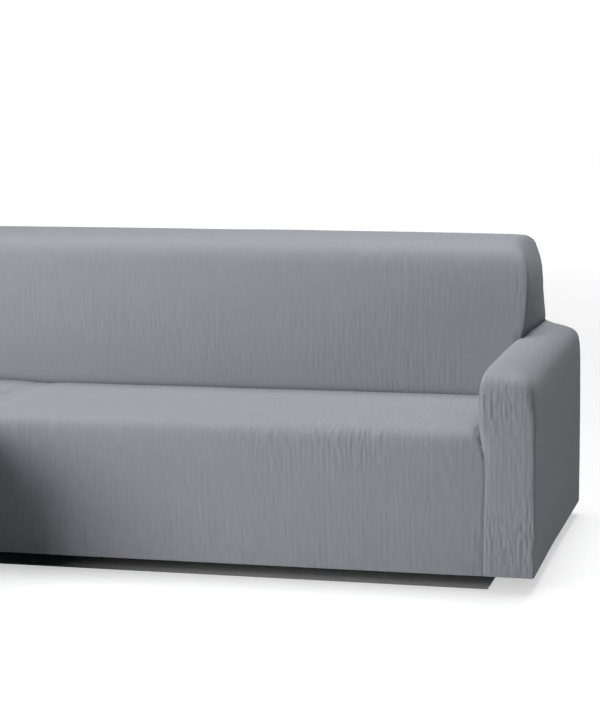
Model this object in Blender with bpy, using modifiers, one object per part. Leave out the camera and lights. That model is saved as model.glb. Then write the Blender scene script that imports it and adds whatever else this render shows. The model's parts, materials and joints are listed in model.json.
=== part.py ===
"""Fitted stretch cover for a chaise sofa: eight sewn panels of ribbed knit, hollow and open below.

The cover's face is modelled once, as a coarse cage with a Subdivision Surface, so that every seam
is one shared line. Each panel is then lifted off that face, drawn back from its seams and given
the cloth's thickness on its inner side. +Z is up and the main front faces -Y.
"""
from collections import Counter

import bmesh
import bpy
import numpy as np
from mathutils import Vector

# Driving dimensions, in metres
WIDTH = 2.636
MAIN_DEPTH = 0.978
CHAISE_REACH = 0.620
CHAISE_CREASE = 1.633
BACK_HEIGHT = 0.856
ARM_HEIGHT = 0.575
ARM_WIDTH = 0.152
SEAT_HEIGHT = 0.416
SEAT_DEPTH = 0.600
BACK_SIDE = 0.119
BACK_FOOT = 0.101
CLOTH = 0.002
SEAM_GAP = 0.0003

# Radii of the padded edges, each named by the two faces that meet there
SEAT_EDGE = 0.075
ARM_CORNER = 0.018
ARM_INNER_EDGE = 0.026
ARM_TOP_EDGE = 0.072
ARM_REAR_CORNER = 0.010
ARM_REAR_EDGE = 0.056
BACK_EDGE = 0.092
BACK_CORNER = 0.042
EDGE_PULL = 0.19

# Tucks, seams and shallow crowns
TUCK_DROP = 0.018
CREASE_DROP = 0.015
SEAT_CROWN = 0.005
BACK_CROWN = 0.018
SEAM_DIP = 0.003
HEM_TURN = 0.003

CLOTH_COLOUR = (0.270, 0.283, 0.305, 1.0)
CLOTH_ROUGHNESS = 0.92
PANELS = (
    "main_seat",
    "chaise_seat",
    "inside_back",
    "outside_back",
    "right_arm",
    "right_arm_side",
    "left_arm",
    "left_arm_side",
)

# Lines of the cage: insets run from the right outer side to the left, depths from the main front
# to the rear, heights from the hem
RIGHT = WIDTH / 2
FRONT = (CHAISE_REACH - MAIN_DEPTH) / 2
LEFT_END = WIDTH - ARM_WIDTH
CHAISE_INNER = (CHAISE_CREASE + SEAT_EDGE, 2.065, LEFT_END - SEAT_EDGE)
MAIN_INSETS = (ARM_WIDTH, ARM_WIDTH + SEAT_EDGE, 0.620, 1.120, CHAISE_CREASE - SEAT_EDGE, CHAISE_CREASE)
CHAISE_INSETS = (CHAISE_CREASE,) + CHAISE_INNER + (LEFT_END,)
MIDDLE_INSETS = MAIN_INSETS + CHAISE_INSETS[1:]
BACK_INSETS = (BACK_SIDE,) + MIDDLE_INSETS + (WIDTH - BACK_SIDE,)
DECK_DEPTHS = (SEAT_EDGE, 0.220, 0.380, 0.540, SEAT_DEPTH)
CHAISE_DEPTHS = (-CHAISE_REACH, SEAT_EDGE - CHAISE_REACH, -0.280, 0.0)
REAR_LINE = MAIN_DEPTH - BACK_EDGE
BACK_DEPTHS = (SEAT_DEPTH, SEAT_DEPTH + BACK_CORNER, 0.765, REAR_LINE, MAIN_DEPTH)
SKIRT_HEIGHTS = (0.0, 0.170, SEAT_HEIGHT - SEAT_EDGE)
ARM_HEIGHTS = SKIRT_HEIGHTS + (0.424, 0.530, ARM_HEIGHT)
LOWER_HEIGHTS = (SEAT_HEIGHT - TUCK_DROP, 0.486, ARM_HEIGHT)
UPPER_HEIGHTS = (ARM_HEIGHT, 0.668, BACK_HEIGHT - BACK_EDGE, BACK_HEIGHT)
SEAM_INSETS = (0.140, 0.137, 0.132)
NOSE_INSET = 0.147


def place(inset, depth, height):
    """Turn an inset, a depth and a height into a point of the cover's own frame."""
    return Vector((RIGHT - inset, FRONT + depth, height))


def mirror(point):
    """Return a point's twin on the other half of the cover."""
    return (WIDTH - point[0], point[1], point[2])


def draw_in(point, met):
    """Round a padded block: move a point in from each of the faces that it lies on.

    met holds an axis, an inward sign and an edge radius for each of those faces.
    """
    moved = list(point)
    for axis, inward, radius in met:
        moved[axis] += inward * EDGE_PULL * radius
    return tuple(moved)


class Cage:
    """A coarse quad mesh, built from grids of points that share their border points."""

    def __init__(self):
        self.bm = bmesh.new()
        self.known = {}

    def vertex(self, point):
        """Return the vertex at a point, made once for every patch that touches it."""
        key = tuple(round(value, 5) for value in point)
        if key not in self.known:
            self.known[key] = self.bm.verts.new(point)
        return self.known[key]

    def patch(self, panel, rows):
        """Fill a grid of points with quads that belong to one panel."""
        grid = [[self.vertex(place(*point)) for point in row] for row in rows]
        for low, high in zip(grid, grid[1:]):
            for corners in zip(low, low[1:], high[1:], high):
                self.bm.faces.new(corners).material_index = PANELS.index(panel)


def seat_point(inset, depth, height):
    """Return a point of the seats, with padded edges and a deck that sinks into its tucks."""
    at_top = height == SEAT_HEIGHT
    inward = {CHAISE_CREASE: 1, LEFT_END: -1}.get(inset, 0)
    at_nose = depth == 0.0 and at_top and (inset <= CHAISE_CREASE or inset == LEFT_END)
    faces = []
    if depth == -CHAISE_REACH or at_nose:
        faces.append((1, 1, SEAT_EDGE))
    if inward and (depth < 0.0 or at_nose):
        faces.append((0, inward, SEAT_EDGE))
    if at_top:
        faces.append((2, -1, SEAT_EDGE))
    if len(faces) > 1:
        return draw_in((NOSE_INSET if inset == ARM_WIDTH else inset, depth, height), faces)
    if inset == ARM_WIDTH and not at_top:
        return (SEAM_INSETS[SKIRT_HEIGHTS.index(height)], SEAM_DIP, height)
    drop = 0.0
    if at_top and depth == SEAT_DEPTH:
        drop = TUCK_DROP
    elif at_top and depth > 0.0 and inset in (ARM_WIDTH, CHAISE_CREASE, LEFT_END):
        drop = CREASE_DROP * min(1.0, depth / DECK_DEPTHS[1])
    elif at_top and CHAISE_DEPTHS[1] < depth < DECK_DEPTHS[3]:
        drop = -SEAT_CROWN
    return (inset, depth, height - drop)


def corner_radius(height):
    """Return the radius of the arm's front corner, which opens out towards the top."""
    start = SKIRT_HEIGHTS[1] + ARM_TOP_EDGE
    share = max(0.0, (height - start) / (ARM_HEIGHT - start))
    return ARM_CORNER + (ARM_TOP_EDGE - ARM_CORNER) * share**1.5


def arm_point(inset, depth, height):
    """Return a point of an arm's block, with its padded edges rounded."""
    at_top = height == ARM_HEIGHT
    at_inner = inset == ARM_WIDTH and depth < SEAT_DEPTH
    at_rear = depth == MAIN_DEPTH
    upright = ARM_REAR_CORNER if at_rear else corner_radius(height)
    level = ARM_REAR_EDGE if at_rear else ARM_TOP_EDGE
    faces = []
    if inset == 0.0:
        faces.append((0, 1, ARM_TOP_EDGE if at_top else upright))
    if at_inner:
        faces.append((0, -1, ARM_INNER_EDGE))
    if depth == 0.0:
        faces.append((1, 1, level if at_top else ARM_INNER_EDGE if at_inner else upright))
    if at_rear and inset < BACK_FOOT:
        faces.append((1, -1, level if at_top else upright))
    if at_top:
        faces.append((2, -1, ARM_INNER_EDGE if at_inner and depth > 0.0 else level))
    return draw_in((inset, depth, height), faces) if len(faces) > 1 else (inset, depth, height)


def end_depth(depth, rise):
    """Let the back end's support lines open out as they rise from the arm to the back's top."""
    if depth == BACK_DEPTHS[1]:
        return depth + (BACK_EDGE - BACK_CORNER) * rise**2
    if depth == REAR_LINE:
        return depth + (BACK_EDGE - ARM_REAR_EDGE) * (1.0 - rise) ** 2
    return depth


def back_point(inset, depth, height):
    """Return a point of the back's block, with padded edges, flared ends and a crowned face."""
    if inset > RIGHT:
        return mirror(back_point(round(WIDTH - inset, 6), depth, height))
    rise = max(0.0, (height - ARM_HEIGHT) / (BACK_HEIGHT - ARM_HEIGHT))
    at_top = height == BACK_HEIGHT
    point = [inset, end_depth(depth, rise), height]
    if inset == BACK_SIDE:
        point[0] = BACK_SIDE + (BACK_FOOT - BACK_SIDE) * (1.0 - rise) ** 3
    elif inset in MAIN_INSETS[:2]:
        point[0] += (BACK_SIDE + BACK_EDGE - ARM_WIDTH) * rise**2
    elif depth == SEAT_DEPTH:
        middle = (LOWER_HEIGHTS[0] + UPPER_HEIGHTS[2]) / 2
        half = UPPER_HEIGHTS[2] - middle
        point[1] -= BACK_CROWN * max(0.0, 1.0 - ((height - middle) / half) ** 2)
    radius = BACK_EDGE if at_top else BACK_CORNER
    faces = []
    if inset == BACK_SIDE:
        faces.append((0, 1, radius))
    if depth in (SEAT_DEPTH, MAIN_DEPTH):
        faces.append((1, 1 if depth == SEAT_DEPTH else -1, radius))
    if at_top:
        faces.append((2, -1, radius))
    return draw_in(point, faces) if len(faces) > 1 and rise > 0.0 else tuple(point)


def build_seats(cage):
    """Main seat: front drop and deck. Chaise seat: deck, front drop and both side drops."""
    drop = [(0.0, height) for height in SKIRT_HEIGHTS + (SEAT_HEIGHT,)]
    deck = [(depth, SEAT_HEIGHT) for depth in DECK_DEPTHS]
    cage.patch("main_seat", [[seat_point(inset, *line) for inset in MAIN_INSETS] for line in drop + deck])
    front = [(-CHAISE_REACH, height) for height in SKIRT_HEIGHTS]
    reach = [(depth, SEAT_HEIGHT) for depth in CHAISE_DEPTHS]
    lines = front + reach + deck
    cage.patch("chaise_seat", [[seat_point(inset, *line) for inset in CHAISE_INSETS] for line in lines])
    heights = SKIRT_HEIGHTS + (SEAT_HEIGHT,)
    for inset in (CHAISE_CREASE, LEFT_END):
        rows = [[seat_point(inset, depth, height) for depth in CHAISE_DEPTHS] for height in heights]
        cage.patch("chaise_seat", rows)


def build_back(cage):
    """Inside back: face, both ends and top, lapping onto the rear. Outside back: the flat rear."""
    low = [[back_point(inset, SEAT_DEPTH, height) for inset in MIDDLE_INSETS] for height in LOWER_HEIGHTS]
    cage.patch("inside_back", low)
    high = [[back_point(inset, SEAT_DEPTH, height) for inset in BACK_INSETS] for height in UPPER_HEIGHTS]
    cage.patch("inside_back", high)
    for inset in (BACK_SIDE, WIDTH - BACK_SIDE):
        end = [[back_point(inset, depth, height) for depth in BACK_DEPTHS] for height in UPPER_HEIGHTS]
        cage.patch("inside_back", end)
    top = [[back_point(inset, depth, BACK_HEIGHT) for inset in BACK_INSETS] for depth in BACK_DEPTHS]
    cage.patch("inside_back", top)
    rear = [[back_point(inset, MAIN_DEPTH, height) for inset in BACK_INSETS] for height in UPPER_HEIGHTS]
    cage.patch("outside_back", [row[1:-1] for row in rear[:-1]])
    cage.patch("inside_back", [row[:2] for row in rear[:-1]])
    cage.patch("inside_back", [row[-2:] for row in rear[:-1]])
    cage.patch("inside_back", rear[-2:])
    lower = []
    for height in ARM_HEIGHTS:
        line = max(ARM_REAR_CORNER, corner_radius(height))
        right = [arm_point(inset, MAIN_DEPTH, height) for inset in (0.0, line, BACK_FOOT)]
        middle = [(inset, MAIN_DEPTH, height) for inset in MIDDLE_INSETS]
        lower.append(right + middle + [mirror(point) for point in reversed(right)])
    cage.patch("outside_back", lower[:-1])
    cage.patch("outside_back", [row[3:-3] for row in lower[-2:]])
    cage.patch("right_arm", [row[:4] for row in lower[-2:]])
    cage.patch("left_arm", [row[-4:] for row in lower[-2:]])


def build_arm(cage, name, seat_inset):
    """One arm's front, inner face and rolled top as a single panel, and its flat side as another."""

    def own(point):
        return mirror(point) if seat_inset > RIGHT else point

    def patch(panel, rows):
        cage.patch(panel, [[own(point) for point in row] for row in rows])

    inner_line = ARM_WIDTH - ARM_INNER_EDGE
    front = []
    for height in ARM_HEIGHTS:
        beside_seat = height in SKIRT_HEIGHTS
        insets = (0.0, corner_radius(height), BACK_FOOT if beside_seat else inner_line)
        row = [arm_point(inset, 0.0, height) for inset in insets]
        if beside_seat:
            row.append(own(seat_point(seat_inset, 0.0, height)))
        else:
            row.append(arm_point(ARM_WIDTH, 0.0, height))
        front.append(row)
    patch(name, front)

    depths = (0.0, ARM_TOP_EDGE) + DECK_DEPTHS[1:]
    top = []
    for depth in depths:
        third = BACK_FOOT if depth == SEAT_DEPTH else inner_line
        top.append([arm_point(inset, depth, ARM_HEIGHT) for inset in (0.0, ARM_TOP_EDGE, third, ARM_WIDTH)])
    patch(name, top)
    ledge_depths = [end_depth(depth, 0.0) for depth in BACK_DEPTHS]
    insets = (0.0, ARM_TOP_EDGE, BACK_FOOT)
    patch(name, [[arm_point(inset, depth, ARM_HEIGHT) for inset in insets] for depth in ledge_depths])

    foot = [(0.0, SKIRT_HEIGHTS[-1])] + [(depth, SEAT_HEIGHT) for depth in (0.0,) + DECK_DEPTHS]
    low = [own(seat_point(seat_inset, *line)) for line in foot]
    high = [arm_point(ARM_WIDTH, 0.0, ARM_HEIGHTS[4])]
    high += [arm_point(ARM_WIDTH, depth, ARM_HEIGHT) for depth in depths]
    middle = [tuple((a + b) / 2 for a, b in zip(*pair)) for pair in zip(low, high)]
    middle[0] = arm_point(ARM_WIDTH, 0.0, ARM_HEIGHTS[3])
    middle[-1] = (ARM_WIDTH, SEAT_DEPTH, LOWER_HEIGHTS[1])
    patch(name, [low, middle, high])

    side = []
    for height in ARM_HEIGHTS:
        far = MAIN_DEPTH - (ARM_REAR_EDGE if height == ARM_HEIGHT else ARM_REAR_CORNER)
        lines = [0.0, corner_radius(height), *DECK_DEPTHS[1:], *ledge_depths[1:3], far, MAIN_DEPTH]
        side.append([arm_point(0.0, depth, height) for depth in lines])
    patch(name, [row[:2] for row in side])
    patch(name, [row[1:] for row in side[-2:]])
    patch(name + "_side", [row[1:] for row in side[:-1]])


def finish_cage(cage):
    """Turn the faces outwards, draw the hem under and keep tucks and flat seams as sharp lines."""
    bm = cage.bm
    bmesh.ops.recalc_face_normals(bm, faces=bm.faces)
    if max(bm.faces, key=lambda face: face.calc_center_median().z).normal.z < 0.0:
        bmesh.ops.reverse_faces(bm, faces=bm.faces)
    crease = bm.edges.layers.float.new("crease_edge")
    for edge in bm.edges:
        if edge.is_boundary:
            continue
        first, second = edge.link_faces
        fold = (second.calc_center_median() - first.calc_center_median()).dot(first.normal)
        turned = first.normal.angle(second.normal)
        is_seam = first.material_index != second.material_index
        if turned > 0.4 and fold > 0.0 or is_seam and turned < 0.3:
            edge[crease] = 1.0
    for vert in bm.verts:
        if vert.is_boundary:
            vert.co -= HEM_TURN * sum((face.normal for face in vert.link_faces), Vector()).normalized()


def smooth_face(cage):
    """Subdivide the cage and return the cover's outer face as one mesh."""
    mesh = bpy.data.meshes.new("cover_face")
    cage.bm.to_mesh(mesh)
    holder = bpy.data.objects.new("cover_face", mesh)
    bpy.context.scene.collection.objects.link(holder)
    smooth = holder.modifiers.new("Smooth", "SUBSURF")
    smooth.levels = 1
    smooth.render_levels = 1
    evaluated = holder.evaluated_get(bpy.context.evaluated_depsgraph_get())
    face = bpy.data.meshes.new_from_object(evaluated)
    bpy.data.objects.remove(holder)
    return face


def solve(rows, wanted):
    """Return the shortest vector whose dot products with the rows come closest to those wanted."""
    return np.linalg.lstsq(np.array(rows), np.array(wanted), rcond=0.15)[0]


def inner_offsets(face):
    """Return, for each vertex, the vector to the cloth's inner side, mitred where faces fold."""
    normals = [[] for _ in face.vertices]
    for polygon in face.polygons:
        for index in polygon.vertices:
            normals[index].append(polygon.normal)
    return [Vector(solve(found, [-CLOTH] * len(found))) for found in normals]


def seam_shifts(face, panel, inward):
    """Return how far each vertex of one panel is drawn back from the panels sewn to it."""
    index = PANELS.index(panel)
    owners = {}
    for polygon in face.polygons:
        for key in polygon.edge_keys:
            owners.setdefault(key, []).append(polygon)
    rows = {}
    normals = {}
    for key, touching in owners.items():
        kinds = [polygon.material_index for polygon in touching]
        if len(kinds) < 2 or kinds[0] == kinds[1] or index not in kinds:
            continue
        own = touching[kinds.index(index)]
        ends = [face.vertices[end].co for end in key]
        along = (ends[1] - ends[0]).normalized()
        for end in key:
            wall = along.cross(inward[end]).normalized()
            if wall.dot(own.center - face.vertices[end].co) < 0.0:
                wall = -wall
            rows.setdefault(end, []).append(wall)
            normals.setdefault(end, []).append(own.normal)
    return {
        end: Vector(solve(walls + normals[end], [SEAM_GAP / 2] * len(walls) + [0.0] * len(normals[end])))
        for end, walls in rows.items()
    }


def cloth_material(name):
    """Return the plain finish of one panel of ribbed knit."""
    material = bpy.data.materials.new(name)
    material.use_nodes = True
    shader = material.node_tree.nodes["Principled BSDF"]
    shader.inputs["Base Color"].default_value = CLOTH_COLOUR
    shader.inputs["Roughness"].default_value = CLOTH_ROUGHNESS
    shader.inputs["Metallic"].default_value = 0.0
    return material


def sew_panel(face, panel, inward, collection):
    """Lift one panel off the cover's face and close it into a sheet of cloth."""
    shifts = seam_shifts(face, panel, inward)
    wanted = [p for p in face.polygons if p.material_index == PANELS.index(panel)]
    bm = bmesh.new()
    outer = {}
    inner = {}
    for index in sorted({index for polygon in wanted for index in polygon.vertices}):
        point = face.vertices[index].co + shifts.get(index, Vector())
        outer[index] = bm.verts.new(point)
        inner[index] = bm.verts.new(point + inward[index])
    for polygon in wanted:
        corners = list(polygon.vertices)
        bm.faces.new([outer[index] for index in corners])
        bm.faces.new([inner[index] for index in reversed(corners)])
    keys = [key for polygon in wanted for key in polygon.edge_keys]
    for start, end in sorted(key for key, count in Counter(keys).items() if count == 1):
        bm.faces.new((outer[start], outer[end], inner[end]))
        bm.faces.new((outer[start], inner[end], inner[start]))
    bmesh.ops.recalc_face_normals(bm, faces=bm.faces)
    mesh = bpy.data.meshes.new(panel)
    bm.to_mesh(mesh)
    bm.free()
    mesh.shade_smooth()
    mesh.set_sharp_from_angle(angle=0.9)
    mesh.materials.append(cloth_material(panel + "_knit"))
    collection.objects.link(bpy.data.objects.new(panel, mesh))


def main():
    for thing in list(bpy.data.objects):
        bpy.data.objects.remove(thing)
    collection = bpy.data.collections.new("chaise_sofa_cover")
    bpy.context.scene.collection.children.link(collection)
    cage = Cage()
    build_seats(cage)
    build_back(cage)
    build_arm(cage, "right_arm", ARM_WIDTH)
    build_arm(cage, "left_arm", LEFT_END)
    finish_cage(cage)
    face = smooth_face(cage)
    inward = inner_offsets(face)
    for panel in PANELS:
        sew_panel(face, panel, inward, collection)


main()
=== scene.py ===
"""Fitted stretch cover of a chaise sofa: eight panels of ribbed knit, dressed over their solids.

The cover's face is laid out once, as a coarse cage with named sizes, and smoothed. Every panel is
then cut from that face as one sheet of cloth of its own: fine columns across the ribs on the
outside, a plain inner side, and a closed rim. Ribs, seams, tucks and creases are real relief.
All lengths are in metres, +Z is up and the main front faces -Y.
"""

from __future__ import annotations

import json
import logging
import math
from dataclasses import dataclass, field
from enum import Enum

import bmesh
import bpy
import numpy as np
from mathutils import Matrix, Vector
from mathutils.kdtree import KDTree

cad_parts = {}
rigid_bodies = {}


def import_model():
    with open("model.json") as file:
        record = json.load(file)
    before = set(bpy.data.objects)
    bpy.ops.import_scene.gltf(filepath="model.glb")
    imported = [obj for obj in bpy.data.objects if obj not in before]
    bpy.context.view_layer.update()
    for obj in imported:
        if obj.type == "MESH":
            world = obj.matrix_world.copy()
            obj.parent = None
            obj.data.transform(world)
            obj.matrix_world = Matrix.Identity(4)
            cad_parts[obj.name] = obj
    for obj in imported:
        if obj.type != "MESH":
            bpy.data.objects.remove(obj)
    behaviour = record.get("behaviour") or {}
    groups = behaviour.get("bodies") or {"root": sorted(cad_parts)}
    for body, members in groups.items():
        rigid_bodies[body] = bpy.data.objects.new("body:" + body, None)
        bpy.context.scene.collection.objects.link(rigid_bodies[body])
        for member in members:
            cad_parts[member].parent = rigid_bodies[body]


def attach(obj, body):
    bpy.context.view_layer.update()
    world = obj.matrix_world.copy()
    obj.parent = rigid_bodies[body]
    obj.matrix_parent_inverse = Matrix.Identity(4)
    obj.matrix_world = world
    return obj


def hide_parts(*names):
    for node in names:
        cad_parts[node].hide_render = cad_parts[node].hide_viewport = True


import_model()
LOG = logging.getLogger("sofa_cover")
BODY = "root"

Point = tuple[float, float, float]
Grid = list[list[Point]]
EdgeKey = tuple[int, int]


class Panel(Enum):
    """The panels of the cover, by the names of their solids."""

    MAIN_SEAT = "main_seat"
    CHAISE_SEAT = "chaise_seat"
    INSIDE_BACK = "inside_back"
    OUTSIDE_BACK = "outside_back"
    RIGHT_ARM = "right_arm"
    RIGHT_SIDE = "right_arm_side"
    LEFT_ARM = "left_arm"
    LEFT_SIDE = "left_arm_side"


DECK_PANELS = frozenset((Panel.MAIN_SEAT, Panel.CHAISE_SEAT))
QUAD_CORNERS = ((0, 0), (1, 0), (1, 1), (0, 1))
ABOVE_ALL = 9.0


class Grain(Enum):
    """Which lines of a patch are close-set: only those across its ribs, or both ways."""

    ACROSS = 1
    BOTH = 4


class Draw(Enum):
    """Seeds of the separate random draws."""

    WANDER = 11
    SWAP = 12
    STRENGTH = 13
    SWELL = 14
    CRINKLES = 15


def read(
    rows: bpy.types.bpy_prop_collection, name: str, width: int, kind: type = np.float32
) -> np.ndarray:
    """Read one attribute of a Blender collection.

    Args:
        rows: The collection.
        name: The attribute's name.
        width: How many values it has for each item.
        kind: The values' type.

    Returns:
        An array with one row for each item.
    """
    values = np.empty(len(rows) * width, kind)
    rows.foreach_get(name, values)
    return values.reshape(-1, width)


def edge_key(a: int, b: int) -> tuple[int, int]:
    """Return the two ends of a cage edge, lowest first."""
    return (a, b) if a < b else (b, a)


def add_object(name: str, data: bpy.types.ID) -> bpy.types.Object:
    """Put new data into the scene.

    Args:
        name: The object's name.
        data: Its mesh, light or camera.

    Returns:
        The new object.
    """
    item = bpy.data.objects.new(name, data)
    bpy.context.scene.collection.objects.link(item)
    return item


def smoothstep(low: float, high: float, values: np.ndarray) -> np.ndarray:
    """Rise smoothly from 0 at low to 1 at high."""
    share = np.clip((values - low) / (high - low), 0.0, 1.0)
    return share * share * (3.0 - 2.0 * share)


def sample(grid: np.ndarray, rows: np.ndarray, columns: np.ndarray) -> np.ndarray:
    """Read a grid of vectors at fractional rows and columns.

    Args:
        grid: Vectors by row and column.
        rows: Rows to read.
        columns: Columns to read.

    Returns:
        The vectors there.
    """
    for axis, spots in ((0, rows), (1, columns)):
        low = np.minimum(spots.astype(int), grid.shape[axis] - 2)
        share = (spots - low).reshape((-1, 1, 1) if axis == 0 else (1, -1, 1))
        grid = np.take(grid, low, axis) * (1.0 - share) + np.take(grid, low + 1, axis) * share
    return grid


def quads_of(grid: np.ndarray) -> np.ndarray:
    """Return the four corners of every cell of a grid of vertex numbers."""
    corners = (grid[:-1, :-1], grid[:-1, 1:], grid[1:, 1:], grid[1:, :-1])
    return np.column_stack([corner.ravel() for corner in corners])


@dataclass(frozen=True)
class Block:
    """Outer sizes of the cover; insets run from its right side, depths from its main front."""

    width: float = 2.636
    main_depth: float = 0.978
    chaise_reach: float = 0.620
    chaise_crease: float = 1.633
    back_height: float = 0.856
    arm_height: float = 0.575
    arm_width: float = 0.152
    seat_height: float = 0.416
    seat_depth: float = 0.600
    skirt_line: float = 0.170
    seat_edge: float = 0.075
    edge_pull: float = 0.151
    foot_drop: float = 0.018
    foot_corner_drop: float = 0.024
    chaise_foot_drop: float = 0.012
    deck_lines: tuple[float, ...] = (0.220, 0.380, 0.540)
    main_lines: tuple[float, ...] = (0.620, 1.120)
    chaise_line: float = 2.065

    @property
    def right(self) -> float:
        """X of the right outer side."""
        return self.width / 2

    @property
    def front(self) -> float:
        """Y of the main front."""
        return (self.chaise_reach - self.main_depth) / 2

    @property
    def left_end(self) -> float:
        """Inset of the left arm's inner line."""
        return self.width - self.arm_width

    @property
    def skirt_heights(self) -> tuple[float, ...]:
        """Heights of the lines below the seat's padded edge."""
        return (0.0, self.skirt_line, self.seat_height - self.seat_edge)

    @property
    def deck_depths(self) -> tuple[float, ...]:
        """Depths of the lines across the deck."""
        return (self.seat_edge, *self.deck_lines, self.seat_depth)

    @property
    def main_insets(self) -> tuple[float, ...]:
        """Insets of the main seat's lines."""
        arm, crease, edge = self.arm_width, self.chaise_crease, self.seat_edge
        return (arm, arm + edge, *self.main_lines, crease - edge, crease)

    @property
    def chaise_insets(self) -> tuple[float, ...]:
        """Insets of the chaise's lines."""
        crease, end, edge = self.chaise_crease, self.left_end, self.seat_edge
        return (crease, crease + edge, self.chaise_line, end - edge, end)

    @property
    def middle_insets(self) -> tuple[float, ...]:
        """Insets of the lines between the two arms."""
        return self.main_insets + self.chaise_insets[1:]

    def foot_height(self, inset: float) -> float:
        """Find where the deck meets the backrest.

        Args:
            inset: Inset of the line.

        Returns:
            The height of the tuck there.
        """
        if inset == self.chaise_crease:
            return self.seat_height - self.foot_corner_drop
        on_main = inset < self.chaise_crease
        return self.seat_height - (self.foot_drop if on_main else self.chaise_foot_drop)

    def place(self, point: Point) -> Point:
        """Turn an inset, a depth and a height into a point of the cover's frame."""
        return (self.right - point[0], self.front + point[1], point[2])

    def mirror(self, point: Point) -> Point:
        """Return a point's twin on the other half of the cover."""
        return (self.width - point[0], point[1], point[2])

    def draw_in(self, point: Point | list[float], met: list[tuple[int, int, float]]) -> Point:
        """Round a padded block by moving a point in from each face that it lies on.

        Args:
            point: Inset, depth and height.
            met: An axis, an inward sign and an edge radius for each face.

        Returns:
            The moved point.
        """
        moved = list(point)
        for axis, inward, radius in met:
            moved[axis] += inward * self.edge_pull * radius
        return tuple(moved)


@dataclass
class Patch:
    """A grid of cage points that belongs to one panel, with its ribs running from row to row."""

    panel: Panel
    grain: Grain
    ids: list[list[int]]
    places: np.ndarray | None = None
    normals: np.ndarray | None = None


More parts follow.
